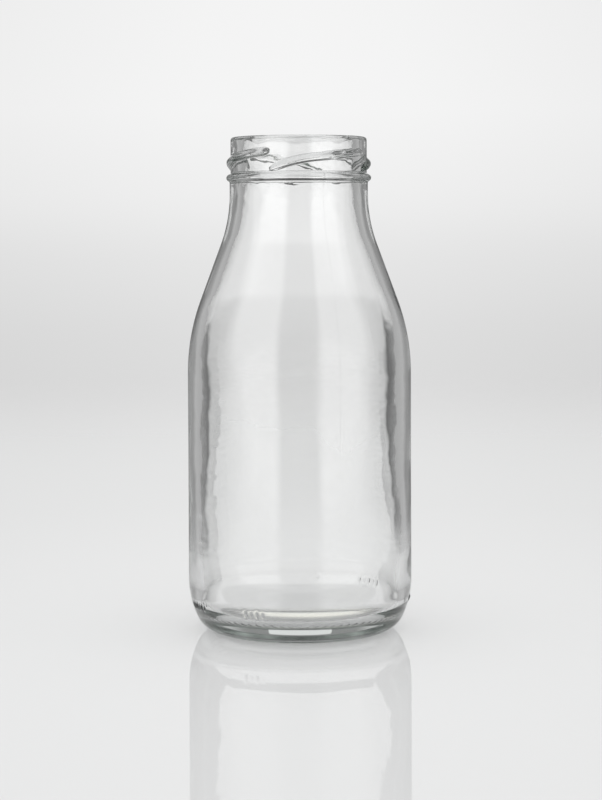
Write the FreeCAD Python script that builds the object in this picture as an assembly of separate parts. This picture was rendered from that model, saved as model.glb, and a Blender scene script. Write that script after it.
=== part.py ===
"""Glass milk bottle, 250 ml: one moulded piece of glass with a four-lug finish.

Millimetres, +Z up. The origin is the centre of the base, on the plane the bottle stands on.
The lugs climb anticlockwise seen from above, which is what a right-hand screw cap needs.
"""

import FreeCAD, Part
import math
import os

# ---- driving dimensions (mm, degrees) ------------------------------------------------

overall_height = 141.0

# outside of the body, from the standing plane up
body_radius = 32.0
bearing_outer_radius = 23.2      # where the heel meets the standing plane
bearing_width = 1.9              # flat ring that carries the bottle
heel_height = 15.0               # where the heel's long curve leaves the straight side
heel_side_radius = 26.0          # long curve under the side
push_up_height = 1.2             # hollow under the base, at the centre
push_up_edge_radius = 1.1        # round between the bearing ring and the hollow
shoulder_drop = 67.4             # from the rim down to the top of the straight side
shoulder_radius = 60.0           # round from the side into the cone
cone_angle = 20.2                # cone's slope from the vertical
neck_bend_radius = 41.5          # hollow curve from the cone into the neck
neck_radius = 19.8

# finish: the part above the neck that takes the closure
finish_wall_radius = 19.5        # straight wall between and above the lugs
bead_radius = 20.75
bead_drop = 11.6                 # from the rim down to the bead's middle
bead_half_height = 1.1
rim_outer_round = 0.8
rim_inner_round = 1.2

# lugs: interrupted threads, each one a steep entry and a shallow cam
lug_count = 4
lug_outer_radius = 20.65
lug_thickness = 2.5              # along the axis, at the wall
lug_start_angle = -115.0         # low end of the first lug, from +X towards +Y
lug_entry_angle = 25.0
lug_cam_angle = 65.5
lug_start_drop = 9.5             # from the rim down to the low end's middle
lug_entry_rise = 2.8
lug_cam_rise = 2.3
lug_nose_angle = 8.0             # over which each end sinks into the wall
lug_root_depth = 0.7             # how far the lug's section runs into the wall
lug_end_sink = 0.05              # depth to which each end's skin dives under the wall
lug_end_share = 0.35             # an end's thickness as a share of the full ridge's
lug_crest_low = 0.55             # crest's lower and upper edges, as shares of half the thickness
lug_crest_high = 0.05

# inside, blown, so its curves are slacker than the outside's
mouth_bore_radius = 15.6
body_wall = 4.2
cone_wall = 3.35                 # square to the cone
inner_neck_bend_radius = 45.0
inner_shoulder_radius = 90.0
inner_heel_radius = 6.0
base_thickness = 4.2             # at the centre
floor_dish = 1.2                 # how far the floor's edge lies below its middle

OUT = "parts"


# ---- outline helpers: points are (radius, height) --------------------------------------

def at(radius, height):
    """A point of the outline, in the XZ plane."""
    return FreeCAD.Vector(radius, 0, height)


def polar(centre, radius, degrees):
    """The point at an angle on a circle in the XZ plane."""
    a = math.radians(degrees)
    return centre + FreeCAD.Vector(radius * math.cos(a), 0, radius * math.sin(a))


def line(a, b):
    return Part.LineSegment(a, b).toShape()


def arc(centre, radius, start, end):
    """The arc about a centre from one angle to another."""
    ends = [polar(centre, radius, d) for d in (start, (start + end) / 2, end)]
    return Part.Arc(*ends).toShape()


def joined(pieces):
    """The pieces of an outline with straight lines across any gap between neighbours."""
    edges = []
    for piece in pieces:
        start = piece.valueAt(piece.FirstParameter)
        if edges:
            last = edges[-1].valueAt(edges[-1].LastParameter)
            if last.distanceToPoint(start) > 1e-6:
                edges.append(line(last, start))
        edges.append(piece)
    return edges


def turned(edges):
    """The solid that a closed outline makes when it is turned about the Z axis."""
    face = Part.Face(Part.Wire(edges))
    return face.revolve(FreeCAD.Vector(0, 0, 0), FreeCAD.Vector(0, 0, 1), 360)


def cone_between(low_radius, low_round, high_radius, high_round, through):
    """The two rounds of a shoulder: side to cone, and cone to neck, from the bottom up.

    The cone passes through the given point and slopes in at cone_angle.
    """
    slope = math.tan(math.radians(cone_angle))
    reach = math.tan(math.radians(cone_angle / 2))
    side_corner = through.z - (low_radius - through.x) / slope
    neck_corner = through.z + (through.x - high_radius) / slope
    side_centre = at(low_radius - low_round, side_corner - low_round * reach)
    neck_centre = at(high_radius + high_round, neck_corner + high_round * reach)
    return [
        arc(side_centre, low_round, 0, cone_angle),
        arc(neck_centre, high_round, 180 + cone_angle, 180),
    ]


def cone_point():
    """The corner where the side and the cone would meet without their round."""
    reach = math.tan(math.radians(cone_angle / 2))
    return at(body_radius, overall_height - shoulder_drop + shoulder_radius * reach)


def inner_cone_point():
    """The same corner moved in, square to the cone, by the glass there."""
    return cone_point() - at(cone_wall / math.cos(math.radians(cone_angle)), 0)


# ---- the bottle's outlines -------------------------------------------------------------

def heel_arcs():
    """The heel from the standing plane up: a tight round, then the long side curve."""
    side_centre = at(body_radius - heel_side_radius, heel_height)
    across = bearing_outer_radius - side_centre.x
    # the tight round touches both the standing plane and the side curve
    corner = (across**2 + heel_height**2 - heel_side_radius**2) / (2 * (heel_height - heel_side_radius))
    corner_centre = at(bearing_outer_radius, corner)
    tilt = math.degrees(math.atan2(corner - heel_height, across))
    return [arc(corner_centre, corner, -90, tilt), arc(side_centre, heel_side_radius, tilt, 0)]


def push_up_arcs():
    """The hollow under the base, from its middle out to the bearing ring."""
    inner = bearing_outer_radius - bearing_width
    edge = push_up_edge_radius
    # a dome of one radius that is tangent to the round at the ring's edge
    dome = (inner**2 + push_up_height**2 - 2 * edge * push_up_height) / (2 * push_up_height)
    dome_centre = at(0, push_up_height - dome)
    edge_centre = at(inner, edge)
    tilt = math.degrees(math.atan2(edge - dome_centre.z, inner))
    return [arc(dome_centre, dome, 90, tilt), arc(edge_centre, edge, 180 + tilt, 270)]


def bead_arc():
    """The bead's round nose, from the neck's wall out and back to the finish's wall."""
    middle = overall_height - bead_drop
    low = at(neck_radius, middle - bead_half_height)
    nose = at(bead_radius, middle)
    high = at(finish_wall_radius, middle + bead_half_height)
    return Part.Arc(low, nose, high).toShape()


def rim_arcs():
    """The rim from the outside in: two rounds with the flat sealing land between them."""
    outer = at(finish_wall_radius - rim_outer_round, overall_height - rim_outer_round)
    inner = at(mouth_bore_radius + rim_inner_round, overall_height - rim_inner_round)
    return [arc(outer, rim_outer_round, 0, 90), arc(inner, rim_inner_round, 90, 180)]


def inside_arcs():
    """The inside from the mouth down to the middle of the floor."""
    wall = body_radius - body_wall
    shoulder = cone_between(
        wall, inner_shoulder_radius, mouth_bore_radius, inner_neck_bend_radius, inner_cone_point()
    )
    middle = push_up_height + base_thickness
    edge = middle - floor_dish
    heel_centre = at(wall - inner_heel_radius, edge + inner_heel_radius)
    # a shallow dome across the floor, tangent to the heel's round
    across = heel_centre.x
    rise = heel_centre.z - middle
    dome = (across**2 + rise**2 - inner_heel_radius**2) / (2 * (inner_heel_radius - rise))
    dome_centre = at(0, middle - dome)
    tilt = math.degrees(math.atan2(heel_centre.z - dome_centre.z, across))
    down = [reversed_arc(piece) for piece in reversed(shoulder)]
    return down + [
        arc(heel_centre, inner_heel_radius, 0, tilt - 180),
        arc(dome_centre, dome, tilt, 90),
    ]


def reversed_arc(edge):
    """The same arc run the other way."""
    first = edge.FirstParameter
    last = edge.LastParameter
    points = [edge.valueAt(p) for p in (last, (first + last) / 2, first)]
    return Part.Arc(*points).toShape()


def glass_body():
    """The bottle without its lugs, turned from one closed outline."""
    outline = push_up_arcs() + heel_arcs()
    outline += cone_between(body_radius, shoulder_radius, neck_radius, neck_bend_radius, cone_point())
    outline += [bead_arc()] + rim_arcs() + inside_arcs()
    edges = joined(outline)
    floor_middle = edges[-1].valueAt(edges[-1].LastParameter)
    base_middle = edges[0].valueAt(edges[0].FirstParameter)
    edges.append(line(floor_middle, base_middle))
    return turned(edges)


# ---- lugs ----------------------------------------------------------------------------

def lug_section(angle, height, size):
    """A lug's closed section at one angle round the neck; size is 1 for the full ridge.

    The underside, which the cap's lug bears on, is steeper than the top.
    """
    stand = (lug_outer_radius - finish_wall_radius) * size - lug_end_sink * (1 - size)
    half = lug_thickness / 2 * (lug_end_share + (1 - lug_end_share) * size)
    wall = finish_wall_radius
    root = wall - lug_root_depth
    corners = [
        (root, -half),
        (wall - lug_end_sink, -half),
        (wall + stand, -lug_crest_low * half),
        (wall + stand, lug_crest_high * half),
        (wall - lug_end_sink, half),
        (root, half),
    ]
    turn = FreeCAD.Rotation(FreeCAD.Vector(0, 0, 1), angle)
    points = [turn.multVec(at(r, height + z)) for r, z in corners]
    return Part.makePolygon(points + points[:1])


def lug_rise(along):
    """Height gained after so many degrees: the steep entry eases into the shallow cam."""
    steep = lug_entry_rise / lug_entry_angle
    shallow = lug_cam_rise / lug_cam_angle
    ease = lug_entry_angle / 2
    past = along - lug_entry_angle
    if past <= -ease:
        return steep * along
    if past >= ease:
        return lug_entry_rise + shallow * past
    blend = (past + ease) ** 2 / (4 * ease)
    return steep * along + (shallow - steep) * blend


def lug(start):
    """One lug, from its low end at the start angle."""
    sweep = lug_entry_angle + lug_cam_angle
    base = overall_height - lug_start_drop
    ends = [lug_nose_angle * share for share in (0, 0.35, 0.7, 1)]
    middle = [ends[-1] + (sweep - 2 * ends[-1]) * k / 8 for k in range(1, 8)]
    alongs = ends + middle + [sweep - e for e in reversed(ends)]
    sections = []
    for along in alongs:
        inset = min(along, sweep - along, lug_nose_angle) / lug_nose_angle
        size = math.sqrt(max(0.0, 1 - (1 - inset) ** 2))
        sections.append(lug_section(start + along, base + lug_rise(along), size))
    return Part.makeLoft(sections, True, False)


def bottle():
    """The whole bottle: one solid, because it is one gob of glass."""
    lugs = [lug(lug_start_angle + 360 / lug_count * k) for k in range(lug_count)]
    return glass_body().fuse(lugs).removeSplitter()


def main():
    os.makedirs(OUT, exist_ok=True)
    shape = bottle()
    solids = shape.Solids
    print("solids", len(solids), "valid", shape.isValid())
    print("glass %.1f ml" % (shape.Volume / 1000))
    solids[0].exportStep(os.path.join(OUT, "glass_bottle.step"))


main()
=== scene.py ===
# %% [markdown]
# # A small glass milk bottle
# The object is one piece of clear moulded glass, 141 mm tall and 64 mm wide. Clear glass has no
# colour of its own to paint, so nearly all of its look comes from its shape: how thick the wall is,
# how the inside runs against the outside, and where light bends or mirrors. The lesson therefore
# spends most of its cells on one accurate closed mesh, and then gives it a plain glass shader.

# %% Load the measured part
import math
import bpy
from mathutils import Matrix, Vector, noise


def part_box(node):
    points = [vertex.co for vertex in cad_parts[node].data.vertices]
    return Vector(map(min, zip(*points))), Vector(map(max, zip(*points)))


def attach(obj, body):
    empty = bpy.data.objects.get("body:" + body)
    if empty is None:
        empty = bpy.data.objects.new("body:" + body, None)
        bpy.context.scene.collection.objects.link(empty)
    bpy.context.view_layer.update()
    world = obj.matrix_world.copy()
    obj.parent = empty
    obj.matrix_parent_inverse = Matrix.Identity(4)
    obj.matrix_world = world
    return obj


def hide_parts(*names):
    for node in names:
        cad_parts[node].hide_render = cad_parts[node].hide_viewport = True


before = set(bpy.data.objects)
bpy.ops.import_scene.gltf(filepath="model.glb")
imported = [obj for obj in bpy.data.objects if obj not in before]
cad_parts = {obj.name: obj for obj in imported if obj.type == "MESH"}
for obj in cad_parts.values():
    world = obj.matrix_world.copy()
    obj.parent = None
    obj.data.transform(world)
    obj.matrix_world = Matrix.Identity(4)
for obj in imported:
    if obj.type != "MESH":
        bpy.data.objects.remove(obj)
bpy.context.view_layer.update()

bottle_low, bottle_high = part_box("glass_bottle")
MM = 0.001
HEIGHT = bottle_high.z / MM
BODY_R = bottle_high.x / MM
print("bottle: %.1f mm tall, %.1f mm wide" % (HEIGHT, 2 * BODY_R))

# %% [markdown]
# ## The outline as arcs
# A bottle is drawn as half of its section and turned about its axis. The section is a chain of
# arcs joined by straight lines, each one tangent to the next, because that is how a mould is cut.
# A point is (radius, height) in millimetres. Each stretch also says how fine its rows are, so that
# tight curves get many rows and a straight wall gets few.

# %% Arc and line helpers
def arc(centre, radius, start, end, rows):
    """Points on an arc from one angle to another, in degrees, with the last point left off."""
    points = []
    for i in range(rows):
        a = math.radians(start + (end - start) * i / rows)
        points.append((centre[0] + radius * math.cos(a), centre[1] + radius * math.sin(a)))
    return points


def line(start, end, rows):
    """Evenly spaced points from start towards end, with the last point left off."""
    return [tuple(s + (e - s) * i / rows for s, e in zip(start, end)) for i in range(rows)]


def smooth(low, high, value):
    """0 below low, 1 above high, and an easy S between."""
    t = min(1.0, max(0.0, (value - low) / (high - low)))
    return t * t * (3 - 2 * t)


# %% [markdown]
# ## Sizes of the outside
# The heel has two curves, a tight one at the floor and a long slack one up the side. Above the
# straight side comes one large round, a cone that slopes 20 degrees, and a hollow curve into the
# neck. The bead is the ring that the glassmaker's tongs and the filling line hold.

# %% Outside sizes, in millimetres
BEARING_R = 23.2
BEARING_WIDTH = 1.9
HEEL_TOP = 15.0
HEEL_SIDE_R = 26.0
PUSH_UP = 0.7
PUSH_UP_EDGE_R = 0.7
SHOULDER_START = 73.6
SHOULDER_R = 60.0
CONE = 20.2
NECK_BEND_R = 41.5
NECK_R = 19.8
FINISH_R = 19.5
BEAD_R = 20.75
BEAD_Z = 129.4
BEAD_NOSE_R = 1.05
BEAD_FILLET = 0.6
RIM_OUTER_ROUND = 0.8
RIM_INNER_ROUND = 1.2
MOUTH_R = 15.6


# %% Heel, hollow base and bearing ring
def base_rows():
    """From the middle of the hollow base out to the ring that the bottle stands on."""
    inner = BEARING_R - BEARING_WIDTH
    dome = (inner**2 + PUSH_UP**2 - 2 * PUSH_UP_EDGE_R * PUSH_UP) / (2 * PUSH_UP)
    tilt = math.degrees(math.atan2(PUSH_UP_EDGE_R - PUSH_UP + dome, inner))
    rows = arc((0, PUSH_UP - dome), dome, 90, tilt, 18)
    rows += arc((inner, PUSH_UP_EDGE_R), PUSH_UP_EDGE_R, 180 + tilt, 270, 6)
    return rows + line((inner, 0), (BEARING_R, 0), 7)


def heel_rows():
    """The tight round at the floor and the slack curve up the side."""
    across = BEARING_R - (BODY_R - HEEL_SIDE_R)
    tight = (across**2 + HEEL_TOP**2 - HEEL_SIDE_R**2) / (2 * (HEEL_TOP - HEEL_SIDE_R))
    tilt = math.degrees(math.atan2(tight - HEEL_TOP, across))
    rows = arc((BEARING_R, tight), tight, -90, tilt, 18)
    return rows + arc((BODY_R - HEEL_SIDE_R, HEEL_TOP), HEEL_SIDE_R, tilt, 0, 16)


base = base_rows()
heel = heel_rows()
print("base rows", len(base), "heel rows", len(heel))


# %% Side, shoulder and neck
def shoulder_arcs(low_r, low_round, high_r, high_round, cone_r, cone_z):
    """Centres of the two rounds that join a side, a cone through (cone_r, cone_z) and a neck."""
    slope = math.tan(math.radians(CONE))
    reach = math.tan(math.radians(CONE / 2))
    side = (low_r - low_round, cone_z - (low_r - cone_r) / slope - low_round * reach)
    neck = (high_r + high_round, cone_z + (cone_r - high_r) / slope + high_round * reach)
    return side, neck


corner_z = SHOULDER_START + SHOULDER_R * math.tan(math.radians(CONE / 2))
side_centre, neck_centre = shoulder_arcs(BODY_R, SHOULDER_R, NECK_R, NECK_BEND_R, BODY_R, corner_z)
cone_start = arc(side_centre, SHOULDER_R, CONE, 0, 1)[0]
cone_end = arc(neck_centre, NECK_BEND_R, 180 + CONE, 180, 1)[0]
side = line((BODY_R, HEEL_TOP), (BODY_R, SHOULDER_START), 48)
shoulder = arc(side_centre, SHOULDER_R, 0, CONE, 18)
shoulder += line(cone_start, cone_end, 16) + arc(neck_centre, NECK_BEND_R, 180 + CONE, 180, 16)
print("cone runs from %.1f to %.1f mm up" % (cone_start[1], cone_end[1]))


# %% Bead, finish wall and rim
def bead_rows():
    """A small hollow, the round nose and a second small hollow."""
    nose = (BEAD_R - BEAD_NOSE_R, BEAD_Z)
    reach = BEAD_NOSE_R + BEAD_FILLET
    lift = [math.sqrt(reach**2 - (wall + BEAD_FILLET - nose[0]) ** 2) for wall in (NECK_R, FINISH_R)]
    tilt = [math.degrees(math.asin(rise / reach)) for rise in lift]
    rows = arc((NECK_R + BEAD_FILLET, BEAD_Z - lift[0]), BEAD_FILLET, 180, 180 - tilt[0], 5)
    rows += arc(nose, BEAD_NOSE_R, -tilt[0], tilt[1], 14)
    return rows + arc((FINISH_R + BEAD_FILLET, BEAD_Z + lift[1]), BEAD_FILLET, 180 + tilt[1], 180, 5)


bead = bead_rows()
neck = line((NECK_R, neck_centre[1]), bead[0], 8)
wall_start = BEAD_Z + 1.65
lug_top = HEIGHT - 2.0
finish = line((FINISH_R, wall_start), (FINISH_R, lug_top), 84)
finish += line((FINISH_R, lug_top), (FINISH_R, HEIGHT - RIM_OUTER_ROUND), 4)
rim = arc((FINISH_R - RIM_OUTER_ROUND, HEIGHT - RIM_OUTER_ROUND), RIM_OUTER_ROUND, 0, 90, 8)
rim += line((FINISH_R - RIM_OUTER_ROUND, HEIGHT), (MOUTH_R + RIM_INNER_ROUND, HEIGHT), 4)
rim += arc((MOUTH_R + RIM_INNER_ROUND, HEIGHT - RIM_INNER_ROUND), RIM_INNER_ROUND, 90, 180, 8)
outside = base + heel + side + shoulder + neck + bead + finish + rim
print("outside rows", len(outside))

# %% [markdown]
# ## Sizes of the inside
# Air blows the inside, and no metal touches it below the mouth, so its curves are slacker than the
# mould's and the wall is thickest at the heel. This thickness is what draws the grey band inside
# each edge of the bottle: light that reaches the inner wall there can't get out and is mirrored.

# %% Inside rows, from the mouth down to the middle of the floor
BODY_WALL = 4.2
CONE_WALL = 3.35
INNER_NECK_BEND_R = 45.0
INNER_SHOULDER_R = 60.0
INNER_HEEL_R = 5.5
BASE_THICKNESS = 4.8
FLOOR_DISH = 0.3


def inside_rows():
    """The blown inside as rows, like the outside but from the top down."""
    wall = BODY_R - BODY_WALL
    cone_r = BODY_R - CONE_WALL / math.cos(math.radians(CONE))
    low, high = shoulder_arcs(wall, INNER_SHOULDER_R, MOUTH_R, INNER_NECK_BEND_R, cone_r, corner_z)
    rows = line((MOUTH_R, HEIGHT - RIM_INNER_ROUND), (MOUTH_R, high[1]), 72)
    rows += arc(high, INNER_NECK_BEND_R, 180, 180 + CONE, 16)
    cone_top = arc(high, INNER_NECK_BEND_R, 180 + CONE, 180, 1)[0]
    cone_foot = arc(low, INNER_SHOULDER_R, CONE, 0, 1)[0]
    rows += line(cone_top, cone_foot, 14)
    rows += arc(low, INNER_SHOULDER_R, CONE, 0, 32)
    middle = PUSH_UP + BASE_THICKNESS
    heel_centre = (wall - INNER_HEEL_R, middle - FLOOR_DISH + INNER_HEEL_R)
    rise = heel_centre[1] - middle
    dome = (heel_centre[0] ** 2 + rise**2 - INNER_HEEL_R**2) / (2 * (INNER_HEEL_R - rise))
    tilt = math.degrees(math.atan2(heel_centre[1] - middle + dome, heel_centre[0]))
    rows += line((wall, low[1]), (wall, heel_centre[1]), 130)
    rows += arc(heel_centre, INNER_HEEL_R, 0, tilt - 180, 18)
    return rows + arc((0, middle - dome), dome, tilt, 90, 14) + [(0, middle)]


inside = inside_rows()
print("inside rows", len(inside))

# %% [markdown]
# ## Relief on the outside
# The lugs, seams and marks are all small heights added to the turned wall. Modelling them as
# heights over (angle, height) keeps the mesh one clean closed skin, where gluing separate ridges
# on would leave faces inside the glass that bend light wrongly.

# %% Lugs as a height over the finish wall
LUG_COUNT = 4
LUG_START = -115.0
LUG_PROUD = 1.15
LUG_HALF = 1.25
LUG_DROP = 9.5
ENTRY_ANGLE = 25.0
ENTRY_RISE = 2.8
CAM_ANGLE = 65.5
CAM_RISE = 2.3
LOW_NOSE = 10.0
HIGH_NOSE = 7.0
LUG_ZONE = (HEIGHT - 11.5, lug_top)


def lug_rise(along):
    """How far a lug has climbed: a steep entry that eases into the shallow cam."""
    steep = ENTRY_RISE / ENTRY_ANGLE
    shallow = CAM_RISE / CAM_ANGLE
    ease = ENTRY_ANGLE / 2
    past = along - ENTRY_ANGLE
    if past <= -ease:
        return steep * along
    if past >= ease:
        return ENTRY_RISE + shallow * past
    return steep * along + (shallow - steep) * (past + ease) ** 2 / (4 * ease)


def lug_height(angle, z):
    """Height of the lugs' ridge over the wall at an angle and a height, in millimetres."""
    if not LUG_ZONE[0] < z < LUG_ZONE[1]:
        return 0.0
    sweep = ENTRY_ANGLE + CAM_ANGLE
    best = 0.0
    for k in range(LUG_COUNT):
        along = (angle - LUG_START - 360 / LUG_COUNT * k) % 360
        if along > sweep:
            continue
        inset = min(1.0, along / LOW_NOSE, (sweep - along) / HIGH_NOSE)
        size = math.sqrt(1 - (1 - inset) ** 2)
        half = LUG_HALF * (0.20 + 0.80 * size)
        t = (z - (HEIGHT - LUG_DROP + lug_rise(along))) / half
        flank = smooth(-1.0, -0.56, t) * (1 - smooth(-0.25, 1.05, t))
        best = max(best, LUG_PROUD * size * flank)
    return best


crest_z = HEIGHT - LUG_DROP + lug_rise(45) - 0.35
print("lug height at its middle: %.2f mm" % lug_height(LUG_START + 45, crest_z))

# %% [markdown]
# ## Mould seams, knurling and mould marks
# The body mould opens in two halves and leaves a hair line down each side. Short ribs under the
# bearing ring let the bottle ride a conveyor without bruising. Near the heel real bottles carry
# mould marks: here they are plain pips and bars that spell nothing.

# %% Seams
BODY_SEAM = -69.5
SEAM_PROUD = 0.045
REAR_SEAM_PROUD = 0.02
SEAM_HALF_WIDTH = 0.16
SEAM_FADES_IN = (30.0, 62.0)


def away(angle, centre):
    """Signed difference of two angles, in degrees."""
    return (angle - centre + 180) % 360 - 180


def seam_height(angle, z, r, centre):
    """A hair line down the mould's joint and another one opposite."""
    front, rear = abs(away(angle, centre)), abs(away(angle, centre + 180))
    across = math.radians(min(front, rear)) * r
    proud = SEAM_PROUD if front < rear else REAR_SEAM_PROUD
    return proud * smooth(*SEAM_FADES_IN, z) * max(0.0, 1 - (across / SEAM_HALF_WIDTH) ** 2)


print("seam height at the shoulder: %.3f mm" % seam_height(BODY_SEAM, 90.0, BODY_R, BODY_SEAM))

# %% Pips and bars. Each row: angle of its middle, height, how many, degrees from one to the next
PIP_PROUD = 0.34
PIP_HALF_WIDTH = 0.75
PIP_HALF_HEIGHTS = (0.75, 0.45)
PIP_BAND = (4.0, 12.0)
PIP_ROWS = (
    (-157.0, 8.2, 6, 2.9),
    (-114.0, 8.6, 4, 3.2),
    (43.0, 8.6, 5, 4.2),
    (80.0, 9.2, 1, 3.0),
    (-5.0, 9.2, 2, 2.5),
)


def pip_height(angle, z):
    """Low pips and upright bars by turns, in a few short rows round the heel."""
    total = 0.0
    if not PIP_BAND[0] < z < PIP_BAND[1]:
        return total
    for centre, level, count, pitch in PIP_ROWS:
        for i in range(count):
            middle = centre + (i - (count - 1) / 2) * pitch
            across = away(angle, middle) / PIP_HALF_WIDTH
            up = (z - level) / PIP_HALF_HEIGHTS[i % 2]
            total += PIP_PROUD * math.exp(-(across**2) - up**2 * (up**2 * 0.5 + 0.3))
    return total


def outside_relief(angle, r, z):
    """All that stands out from the turned outside, in millimetres."""
    if z > BEAD_Z + 1.0:
        return lug_height(angle, z)
    if z > HEEL_TOP * 0.2:
        return pip_height(angle, z) + seam_height(angle, z, r, BODY_SEAM)
    return 0.0


print("pips:", sum(row[2] for row in PIP_ROWS))

# %% Knurls
KNURLS = 60
KNURL_DEPTH = 0.28
KNURL_INNER_FADE = 0.8
KNURL_OUTER_FADE = 1.4


def knurl_lift(angle, r):
    """How far the bearing ring's skin lies above the floor between its ribs."""
    ring_inside = BEARING_R - BEARING_WIDTH
    if not ring_inside - KNURL_INNER_FADE < r < BEARING_R + KNURL_OUTER_FADE:
        return 0.0
    turn = (angle / 360 * KNURLS) % 1.0
    rib = smooth(0.0, 0.22, turn) * (1 - smooth(0.52, 0.74, turn))
    fade = smooth(ring_inside - KNURL_INNER_FADE, ring_inside, r)
    fade *= 1 - smooth(BEARING_R, BEARING_R + KNURL_OUTER_FADE, r)
    return KNURL_DEPTH * (1 - rib) * fade


print("ribs under the bearing ring:", KNURLS)

# %% [markdown]
# ## The blown inside is never even
# Hot glass sags and cools by its own rules, so the inside wanders: the wall leans and is thinner on
# one side low down, slow swells run up it, and fine ripples lie across it. A little way round from
# each side the light grazes the inside, and there a ripple of a few hundredths of a millimetre is
# enough to fray the dark line. Those errors are what makes a real bottle's edges look drawn by
# hand, so they are built into the mesh.

# %% Wandering of the inside, in millimetres and degrees
LEAN = 0.20
LEAN_SIDEWAYS = 0.05
LOW_LEAN = 0.8
SAG = 0.28
SWELL = 0.05
RIPPLE = 0.002
SIDE_RIPPLE = 10.0
FRAY = 0.04
GRAZED_AT = 27.0
GRAZED_WIDTH = 9.0
BORE_RIPPLE = 0.07
BORE_GRAIN = 0.009


def wobble(a, across, up, shift=(0, 0)):
    """Seamless noise round the bottle; larger across and up make it finer."""
    place = (across * math.cos(a) + shift[0], across * math.sin(a) + shift[1], up)
    return noise.noise(Vector(place))


def grazed(a):
    """1 where light grazes the inside on its way to the eye, and 0 well away from there."""
    off_side = math.degrees(math.asin(abs(math.sin(a))))
    return math.exp(-(((off_side - GRAZED_AT) / GRAZED_WIDTH) ** 2))


def inside_wander(angle, z):
    """Change of the inner radius at an angle and a height, in millimetres."""
    a = math.radians(angle)
    body = smooth(8.0, 24.0, z) * (1 - smooth(84.0, 122.0, z))
    low = 1 - smooth(28.0, 50.0, z)
    lean = LEAN - LEAN_SIDEWAYS * math.cos(a) + LOW_LEAN * low * max(0.0, math.cos(a)) ** 2
    slow = SAG * wobble(a, 1.3, z / 34.0)
    wave = SWELL * wobble(a, 3.1, z / 11.0, (7, 0))
    ripple = RIPPLE * wobble(a, 7, z / 1.3, (0, 9)) * (1 + SIDE_RIPPLE * grazed(a))
    ripple += FRAY * grazed(a) * wobble(a, 5, z / 4.0, (3, 0))
    bore = smooth(116.0, 124.0, z)
    chill = BORE_RIPPLE * bore * wobble(a, 6.5, z / 2.4)
    chill += BORE_GRAIN * bore * wobble(a, MOUTH_R, z)
    return (0.10 + 0.90 * body) * (lean * body + slow + wave) + ripple * (0.2 + 0.8 * body) + chill


widths = [inside_wander(a, 50.0) for a in range(0, 360, 15)]
print("inside wanders %.2f to %.2f mm at mid height" % (min(widths), max(widths)))

# %% [markdown]
# ## Turning the outline into a mesh
# The columns are one degree apart, with extra ones at the seams and marks, where a degree is too
# coarse. Every row is a ring of vertices; the first and last rows are single points on the axis.

# %% Columns
SEAM_STEPS = (0.0, 0.12, 0.24, 0.4)
PIP_STEP = 0.33
CLOSEST = 0.09


def column_angles():
    """The angles of the mesh's columns, in degrees, sorted."""
    angles = {float(a) for a in range(-180, 180)}
    for seam in (BODY_SEAM, BODY_SEAM + 180):
        angles |= {round(seam + s * d, 3) for s in (-1, 1) for d in SEAM_STEPS}
    for centre, level, count, pitch in PIP_ROWS:
        half = int((count * pitch / 2 + 1) / PIP_STEP)
        angles |= {round(centre + PIP_STEP * i, 3) for i in range(-half, half + 1)}
    kept = []
    for a in sorted((a + 180) % 360 - 180 for a in angles):
        if not kept or a - kept[-1] > CLOSEST:
            kept.append(a)
    return kept


columns = column_angles()
print("columns", len(columns))


# %% Rings of vertices
BASE_ZONE = 1.2


def ring(r, z, on_outside):
    """One row of vertices, in metres."""
    points = []
    for angle in columns:
        a = math.radians(angle)
        if on_outside:
            radius = r + outside_relief(angle, r, z)
            level = z + (knurl_lift(angle, r) if z < BASE_ZONE else 0.0)
        else:
            radius = r + inside_wander(angle, z) * smooth(0.0, 20.0, r)
            level = z
        points.append((radius * math.cos(a) * MM, radius * math.sin(a) * MM, level * MM))
    return points


def bottle_mesh():
    """The whole skin of the glass, outside and inside, as one closed mesh."""
    verts = [(0, 0, outside[0][1] * MM)]
    for r, z in outside[1:]:
        verts += ring(r, z, True)
    for r, z in inside[:-1]:
        verts += ring(r, z, False)
    verts.append((0, 0, inside[-1][1] * MM))
    n = len(columns)
    rings = (len(verts) - 2) // n
    faces = []
    for i in range(n):
        j = (i + 1) % n
        faces.append((0, 1 + j, 1 + i))
        for k in range(rings - 1):
            low, high = 1 + k * n, 1 + (k + 1) * n
            faces.append((low + i, low + j, high + j, high + i))
        top = 1 + (rings - 1) * n
        faces.append((top + i, top + j, len(verts) - 1))
    mesh = bpy.data.meshes.new("milk_bottle")
    mesh.from_pydata(verts, [], faces)
    mesh.validate()
    mesh.shade_smooth()
    return mesh


bottle = bpy.data.objects.new("milk_bottle", bottle_mesh())
bpy.context.scene.collection.objects.link(bottle)
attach(bottle, "root")
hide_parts("glass_bottle")
print("faces", len(bottle.data.polygons))

# %% [markdown]
# ## Clear glass
# Flint glass bends light by 1.52. It isn't quite colourless: a trace of iron makes thick places,
# such as the heel, look grey-green, so the colour comes from absorption along the path and not
# from a tinted skin. A very faint bump stands for the skin that the mould leaves.

# %% Glass material
GLASS_IOR = 1.52
GLASS_TINT = 3.5
GLASS_PASSES = (0.62, 0.80, 0.70, 1)
SKIN_SCALE = 160.0
SKIN_DEPTH = 0.00003


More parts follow.
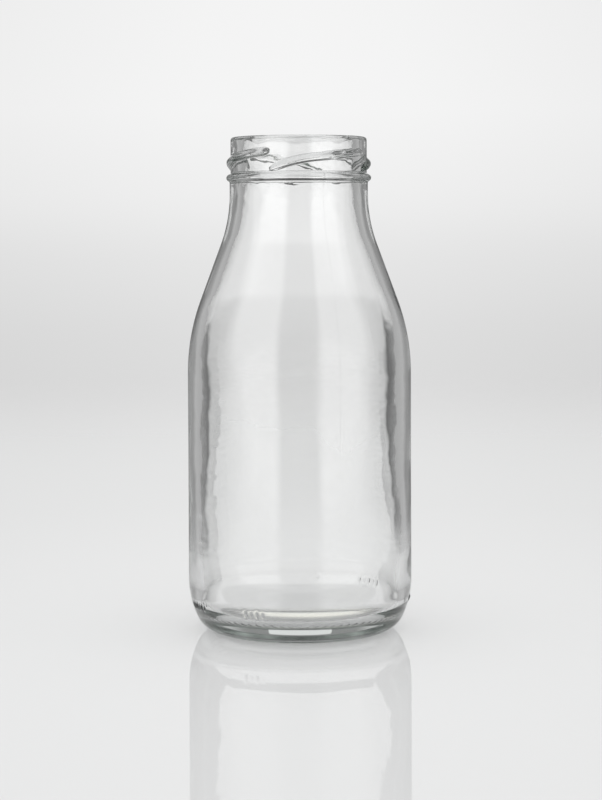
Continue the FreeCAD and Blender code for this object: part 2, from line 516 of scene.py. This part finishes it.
def glass_material():
    """Clear glass with a faint skin texture and a little absorption."""
    material = bpy.data.materials.new("clear_glass")
    material.use_nodes = True
    nodes, links = material.node_tree.nodes, material.node_tree.links
    shader = nodes["Principled BSDF"]
    shader.inputs["Base Color"].default_value = (1.0, 1.0, 1.0, 1)
    shader.inputs["Roughness"].default_value = 0.0
    shader.inputs["IOR"].default_value = GLASS_IOR
    shader.inputs["Transmission Weight"].default_value = 1.0
    place = nodes.new("ShaderNodeTexCoord")
    skin = nodes.new("ShaderNodeTexNoise")
    skin.inputs["Scale"].default_value = SKIN_SCALE
    skin.inputs["Detail"].default_value = 2.0
    bump = nodes.new("ShaderNodeBump")
    bump.inputs["Strength"].default_value = 0.25
    bump.inputs["Distance"].default_value = SKIN_DEPTH
    links.new(place.outputs["Object"], skin.inputs["Vector"])
    links.new(skin.outputs["Fac"], bump.inputs["Height"])
    links.new(bump.outputs["Normal"], shader.inputs["Normal"])
    inside_glass = nodes.new("ShaderNodeVolumeAbsorption")
    inside_glass.inputs["Color"].default_value = GLASS_PASSES
    inside_glass.inputs["Density"].default_value = GLASS_TINT
    links.new(inside_glass.outputs["Volume"], nodes["Material Output"].inputs["Volume"])
    return material


glass = glass_material()
bottle.data.materials.append(glass)
print("glass nodes", len(glass.node_tree.nodes))

# %% [markdown]
# ## Short ways to add nodes
# The floor and the world both tell rays apart with the Light Path node: a ray can come straight
# from the lens, through glass, off a mirror, or off something matt. A few helpers keep those two
# node trees readable. Each one adds a node, feeds it with numbers or with other nodes' outputs, and
# hands back its output.

# %% Node helpers
def add(tree, kind, **settings):
    """A new node with its settings, such as operation or data_type."""
    node = tree.nodes.new("ShaderNode" + kind)
    for name, value in settings.items():
        setattr(node, name, value)
    return node


def feed(tree, socket, value):
    """Gives a socket a number, a colour or the output of another node."""
    if isinstance(value, (int, float, tuple)):
        socket.default_value = value
    else:
        tree.links.new(value, socket)


def maths(tree, operation, *values):
    """A Math node on numbers or outputs."""
    node = add(tree, "Math", operation=operation)
    for socket, value in zip(node.inputs, values):
        feed(tree, socket, value)
    return node.outputs["Value"]


def ranged(tree, value, low, high, to_low=0.0, to_high=1.0, easing="SMOOTHSTEP"):
    """How far a value has gone from low to high, put between to_low and to_high."""
    node = add(tree, "MapRange", interpolation_type=easing)
    tree.links.new(value, node.inputs["Value"])
    numbers = {"From Min": low, "From Max": high, "To Min": to_low, "To Max": to_high}
    for name, number in numbers.items():
        node.inputs[name].default_value = number
    return node.outputs["Result"]


def blend(tree, kind, factor, first, second):
    """A colour mix of the given kind."""
    node = add(tree, "Mix", data_type="RGBA", blend_type=kind)
    for name, value in (("Factor", factor), ("A", first), ("B", second)):
        feed(tree, node.inputs[name], value)
    return node.outputs["Result"]


def scaled(tree, colour, amount):
    """A colour times a number."""
    node = add(tree, "VectorMath", operation="SCALE")
    tree.links.new(colour, node.inputs[0])
    tree.links.new(amount, node.inputs["Scale"])
    return node.outputs["Vector"]


def distance_from(tree, place, point):
    """How far a place is from a point, in metres."""
    node = add(tree, "VectorMath", operation="DISTANCE")
    tree.links.new(place, node.inputs[0])
    node.inputs[1].default_value = point
    return node.outputs["Value"]


def shader_mix(tree, share, first, second):
    """Two shaders in one; the share belongs to the second."""
    node = add(tree, "MixShader")
    for slot, value in enumerate((share, first, second)):
        tree.links.new(value, node.inputs[slot])
    return node.outputs["Shader"]


# %% Kinds of rays
# painted shade: rays mirrored twice or more see the studio and the sheet dimmed to this share
TWICE_MIRRORED_DIM = 0.40


def followed(tree, path):
    """1 for rays the eye follows, straight, mirrored or through glass, until they scatter."""
    seen = maths(tree, "MAXIMUM", path["Is Camera Ray"], path["Is Transmission Ray"])
    seen = maths(tree, "MAXIMUM", seen, path["Is Glossy Ray"])
    unscattered = maths(tree, "LESS_THAN", path["Diffuse Depth"], 0.5)
    return maths(tree, "MULTIPLY", seen, unscattered)


def mirrored_times(tree, path, times):
    """1 for rays that have been mirrored at least so many times."""
    return maths(tree, "GREATER_THAN", path["Glossy Depth"], times - 0.5)


print("light mirrored twice keeps %.0f%%" % (100 * TWICE_MIRRORED_DIM))

# %% [markdown]
# ## The floor
# The bottle stands on a sheet of glossy white paper: a matt white under a clear face, with a mirror
# that grows at a low angle, and painted a touch darker away from the bottle as shade. It fades out
# far away, so that it has no edge against the background. A real sheet is narrow, and a bottle's
# edges bend light from far out to the side, where no paper is left. That is what draws the dark
# lines inside its outline, so rays that come through glass or off a mirror find a gap there. The eye
# also sees a painted glow on the sheet, dimmer to the sides, and under the bottle a brighter painted
# pool of light, standing in for the light that the thick base gathers.

# %% Sizes of the floor, in metres and degrees
FLOOR_REACH = 1.16
FLOOR_SOLID = 0.26
FLOOR_GONE = 1.15
FLOOR_DROP = 0.00002
PAPER = (0.905, 0.91, 0.91)
# painted shade: the paper's white is darker by this much away from the bottle
PAPER_PAINTED_SHADE = 0.87
PAPER_RANGE = (0.03, 0.27)
PAPER_ROUGHNESS = 0.035
PAPER_IOR = 1.52
SHEET_EDGE = (13.0, 23.0)
SHEET_RETURN = 68.0
SHEET_NEAR = 0.03
SHEET_FAR = 0.33
FRONT_NEAR = 0.06
FRONT_FAR = 0.30
FRONT_GONE = 0.7
print("floor gap from %.0f to %.0f degrees to each side" % (SHEET_EDGE[0], SHEET_RETURN))

# %% Painted glow of the sheet and painted pool of light under the bottle
# painted glow: the share of the sheet that the eye sees as an even glow instead of lit paper
GLOW_SHARE = 0.20
POOL_SHARE = 0.75
SHEET_TONE = (0.87, 0.873, 0.875)
# painted shade: the sheet's glow dims to this share towards the sides
SHEET_FALLOFF = 0.86
FALLOFF_RANGE = (0.03, 0.16)
# painted pool of light under the bottle: a brighter glow on the sheet that stands in for light the
# base gathers
PAINTED_POOL_LIGHT = (1.33, 1.315, 1.17)
POOL_CENTRE = (0.002, 0.007, 0)
POOL_RIM = (0.013, 0.025)


def paper(tree, distance):
    """The matt white under its clear face, painted a touch darker away from the bottle as shade."""
    shader = tree.nodes["Principled BSDF"]
    # painted shade: the white darkens with distance from the bottle
    shaded_paper = tuple(channel * PAPER_PAINTED_SHADE for channel in PAPER)
    off = ranged(tree, distance, *PAPER_RANGE, easing="LINEAR")
    white = blend(tree, "MIX", off, (*PAPER, 1), (*shaded_paper, 1))
    tree.links.new(white, shader.inputs["Base Color"])
    shader.inputs["Roughness"].default_value = PAPER_ROUGHNESS
    shader.inputs["IOR"].default_value = PAPER_IOR
    return shader.outputs["BSDF"]


def missing(tree, path, distance, aside, along):
    """How much of the sheet is gone: far off for every ray, nearer for rays off or through glass."""
    faded = ranged(tree, distance, FLOOR_SOLID, FLOOR_GONE, easing="SMOOTHERSTEP")
    turn = maths(tree, "ARCTAN2", aside, along)
    beyond = ranged(tree, turn, *(math.radians(d) for d in SHEET_EDGE))
    within = maths(tree, "LESS_THAN", turn, math.radians(SHEET_RETURN))
    clear_of = ranged(tree, distance, SHEET_NEAR, SHEET_FAR)
    gap = maths(tree, "MULTIPLY", maths(tree, "MULTIPLY", beyond, within), clear_of)
    by_glass = maths(tree, "MAXIMUM", path["Is Transmission Ray"], path["Is Glossy Ray"])
    gone = maths(tree, "MAXIMUM", faded, maths(tree, "MULTIPLY", gap, by_glass))
    front = ranged(tree, along, -FRONT_NEAR, -FRONT_FAR, to_high=FRONT_GONE)
    return maths(tree, "MAXIMUM", gone, maths(tree, "MULTIPLY", front, path["Is Glossy Ray"]))


def glow(tree, path, place, aside):
    """A painted glow of the sheet, dimmer to the sides, with a brighter painted pool of light under
    the bottle, and the share of it that a ray sees.
    """
    off_pool = ranged(tree, distance_from(tree, place, POOL_CENTRE), *POOL_RIM)
    tone = blend(tree, "MIX", off_pool, (*PAINTED_POOL_LIGHT, 1), (*SHEET_TONE, 1))
    # painted shade: the glow dims away from the middle towards the sides
    side_shade = ranged(tree, aside, *FALLOFF_RANGE, 1.0, SHEET_FALLOFF)
    # painted shade: rays mirrored twice or more see only the glow, dimmed
    mirrored_twice = mirrored_times(tree, path, 2)
    lost = maths(tree, "MULTIPLY", mirrored_twice, 1 - TWICE_MIRRORED_DIM)
    kept = maths(tree, "SUBTRACT", 1.0, lost)
    light = add(tree, "Emission")
    tree.links.new(scaled(tree, scaled(tree, tone, side_shade), kept), light.inputs["Color"])
    amount = ranged(tree, off_pool, 0.0, 1.0, POOL_SHARE, GLOW_SHARE, "LINEAR")
    share = maths(tree, "MAXIMUM", amount, mirrored_twice)
    return light.outputs["Emission"], maths(tree, "MULTIPLY", followed(tree, path), share)


# %% Floor
def floor_material():
    """Glossy white sheet with a painted glow and a painted pool of light, which fades into the
    background with distance.
    """
    material = bpy.data.materials.new("white_sheet")
    material.use_nodes = True
    tree = material.node_tree
    path = add(tree, "LightPath").outputs
    place = add(tree, "TexCoord").outputs["Object"]
    spot = add(tree, "SeparateXYZ")
    tree.links.new(place, spot.inputs["Vector"])
    aside = maths(tree, "ABSOLUTE", spot.outputs["X"])
    distance = distance_from(tree, place, (0, 0, 0))
    light, share = glow(tree, path, place, aside)
    sheet = shader_mix(tree, share, paper(tree, distance), light)
    gone = missing(tree, path, distance, aside, spot.outputs["Y"])
    clear = add(tree, "BsdfTransparent").outputs["BSDF"]
    surface = tree.nodes["Material Output"].inputs["Surface"]
    tree.links.new(shader_mix(tree, gone, sheet, clear), surface)
    return material


floor_mesh = bpy.data.meshes.new("floor")
corners = [(-FLOOR_REACH, -FLOOR_REACH, 0), (FLOOR_REACH, -FLOOR_REACH, 0)]
corners += [(FLOOR_REACH, FLOOR_REACH, 0), (-FLOOR_REACH, FLOOR_REACH, 0)]
floor_mesh.from_pydata(corners, [], [(0, 1, 2, 3)])
floor = bpy.data.objects.new("floor", floor_mesh)
floor.location.z = -FLOOR_DROP
floor_mesh.materials.append(floor_material())
bpy.context.scene.collection.objects.link(floor)
print("floor nodes", len(floor_mesh.materials[0].node_tree.nodes))

# %% [markdown]
# ## The studio
# Glass shows its surroundings, so the surroundings are part of the picture. Straight through the
# glass and beside it the eye meets the same pale backdrop, painted a little darker as shade where
# the sweep turns up, and beside the bottle away from straight behind; through the glass it also
# reaches dark cards to each side of the sheet and a dim ceiling.
# Mirrored in the glass it meets the studio: a broad soft panel at each side of the camera, a dim
# gap between them where the camera stands, and dim corners beyond. For light that is mirrored more
# than once, which has rattled through the wall, the studio and the sheet are painted dim as shade.
# Everything matt is lit by one even level.

# %% What stands round the bottle. Each stop: sine of the height angle, or degrees, and a grey
# painted shade: the backdrop's grey dips where the sweep turns up
BACKDROP = (
    (-1.0, 0.74), (-0.14, 0.72), (-0.082, 0.715), (-0.05, 0.735), (-0.012, 0.80),
    (0.012, 0.865), (0.055, 0.915), (0.11, 0.905), (0.5, 0.88), (1.0, 0.88),
)
STUDIO = (
    (0, 0.20), (20, 0.20), (27, 1.35), (75, 1.35), (84, 0.12), (104, 0.12),
    (122, 0.36), (146, 0.50), (156, 0.24), (180, 0.24),
)
SIDE_CARDS = ((0, 1.0), (9, 1.0), (16, 0.88), (20, 0.12), (62, 0.12), (74, 1.0), (180, 1.0))
CEILING = ((-1.0, 1.0), (0.27, 1.0), (0.36, 0.07), (1.0, 0.07))
# painted shade: beside the bottle the backdrop darkens away from straight behind
EDGE_OF_SWEEP = ((0, 1.0), (3, 0.99), (8, 0.945), (180, 0.945))
OVERHEAD = ((-1.0, 1.0), (0.60, 1.0), (0.90, 0.40), (1.0, 0.40))
SWEEP_MIRRORED = ((-1.0, 0.75), (0.275, 0.75), (0.40, 0.60), (1.0, 0.60))
CARDS_FADE_IN = (0.0, -0.060)
MIRRORED_FROM = (0.045, 0.060)
MIRRORED_TO = 0.285
BEHIND = 168.0
EVEN_LIGHT = 1.0
HALF = 2.0
print("panels from %d to %d degrees off the lens" % (STUDIO[2][0], STUDIO[3][0]))


# %% Greys from stops
def by(tree, stops, low, high, value):
    """The grey that the stops give for a value, at half strength so that none is over 1."""
    node = add(tree, "ValToRGB")
    node.color_ramp.interpolation = "LINEAR"
    elements = node.color_ramp.elements
    while len(elements) < len(stops):
        elements.new(0.5)
    for element, (place, grey) in zip(elements, stops):
        element.position = (place - low) / (high - low)
        element.color = (grey / HALF, grey / HALF, grey / HALF, 1)
    tree.links.new(ranged(tree, value, low, high, easing="LINEAR"), node.inputs["Fac"])
    return node.outputs["Color"]


def times(tree, colour, stops, low, high, value):
    """A colour times the full grey of the stops."""
    full = blend(tree, "MULTIPLY", 1.0, by(tree, stops, low, high, value), (HALF, HALF, HALF, 1.0))
    return blend(tree, "MULTIPLY", 1.0, colour, full)


# %% Looks of the backdrop and of the studio
def through_glass(tree, backdrop, up, from_back):
    """What rays meet that have passed through glass: backdrop, side cards and ceiling."""
    cards = by(tree, SIDE_CARDS, 0, 180, from_back)
    cards = blend(tree, "MULTIPLY", 1.0, cards, (HALF, HALF, HALF, 1.0))
    low_down = ranged(tree, up, *CARDS_FADE_IN)
    cards = blend(tree, "MIX", low_down, (1, 1, 1, 1), cards)
    return times(tree, blend(tree, "MULTIPLY", 1.0, backdrop, cards), CEILING, -1, 1, up)


def in_the_mirror(tree, up, from_lens):
    """What mirrored rays meet: the studio, or the sweep for those that the floor sends on."""
    panels = times(tree, by(tree, STUDIO, 0, 180, from_lens), OVERHEAD, -1, 1, up)
    high = ranged(tree, up, *MIRRORED_FROM, easing="LINEAR")
    behind = maths(tree, "GREATER_THAN", from_lens, BEHIND)
    low_enough = maths(tree, "LESS_THAN", up, MIRRORED_TO)
    over = maths(tree, "MULTIPLY", high, maths(tree, "MULTIPLY", behind, low_enough))
    return blend(tree, "MIX", over, panels, by(tree, SWEEP_MIRRORED, -1, 1, up))


# %% World
def studio_world():
    """The world: backdrop for straight rays, studio for mirrored ones, even light for the rest."""
    world = bpy.data.worlds.new("studio")
    world.use_nodes = True
    tree = world.node_tree
    path = add(tree, "LightPath").outputs
    parts = add(tree, "SeparateXYZ")
    tree.links.new(add(tree, "TexCoord").outputs["Generated"], parts.inputs["Vector"])
    up = parts.outputs["Z"]
    side = maths(tree, "ABSOLUTE", parts.outputs["X"])
    toward = maths(tree, "MULTIPLY", parts.outputs["Y"], -1.0)
    from_lens = maths(tree, "MULTIPLY", maths(tree, "ARCTAN2", side, toward), 180 / math.pi)
    from_back = maths(tree, "SUBTRACT", 180.0, from_lens)

    backdrop = by(tree, BACKDROP, -1, 1, up)
    through = through_glass(tree, backdrop, up, from_back)
    beside = times(tree, backdrop, EDGE_OF_SWEEP, 0, 180, from_back)
    straight = blend(tree, "MIX", path["Is Camera Ray"], through, beside)
    mirror = in_the_mirror(tree, up, from_lens)
    # painted shade: the studio is dimmed for rays mirrored twice or more
    dim = (TWICE_MIRRORED_DIM, TWICE_MIRRORED_DIM, TWICE_MIRRORED_DIM, 1)
    mirror = blend(tree, "MULTIPLY", mirrored_times(tree, path, 2), mirror, dim)
    look = blend(tree, "MIX", mirrored_times(tree, path, 1), straight, mirror)
    even = (EVEN_LIGHT / HALF, EVEN_LIGHT / HALF, EVEN_LIGHT / HALF, 1)
    background = tree.nodes["Background"]
    background.inputs["Strength"].default_value = HALF
    tree.links.new(blend(tree, "MIX", followed(tree, path), even, look), background.inputs["Color"])
    return world


bpy.context.scene.world = studio_world()
print("world nodes", len(bpy.context.scene.world.node_tree.nodes))

# %% [markdown]
# ## Bounces
# A ray through a bottle meets four skins, and one that is caught in the thick wall meets many more.
# With too few bounces the edges go black, so the limits are well above the defaults.

# %% Bounces
BOUNCES = 32
paths = bpy.context.scene.cycles
paths.max_bounces = BOUNCES
paths.glossy_bounces = BOUNCES
paths.transmission_bounces = BOUNCES
print("bounces", paths.max_bounces)

# %% [markdown]
# ## The camera
# A long lens stands low, a little under the height of the lugs, so that the mouth is seen edge on
# and the side stands upright. The camera tips down slightly and the frame is shifted for the rest.

# %% Camera, in millimetres and degrees
CAMERA_AWAY = 605.3
CAMERA_UP = 115.6
CAMERA_ASIDE = 0.6
CAMERA_TIP = 1.466
CAMERA_ROLL = 0.2
LENS_MM = 94.95
SENSOR_MM = 36.0
FRAME_SHIFT = -0.15

camera_data = bpy.data.cameras.new("camera")
camera_data.lens = LENS_MM
camera_data.sensor_width = SENSOR_MM
camera_data.shift_y = FRAME_SHIFT
camera = bpy.data.objects.new("camera", camera_data)
camera.location = (CAMERA_ASIDE * MM, -CAMERA_AWAY * MM, CAMERA_UP * MM)
camera.rotation_euler = (math.radians(90 - CAMERA_TIP), math.radians(CAMERA_ROLL), 0)
bpy.context.scene.collection.objects.link(camera)
bpy.context.scene.camera = camera
print("camera %.0f mm away, %.0f mm up" % (CAMERA_AWAY, CAMERA_UP))

# %% [markdown]
# ## Colour
# The plain colour view shows each grey about as it is written above.

bpy.context.scene.view_settings.view_transform = "Standard"
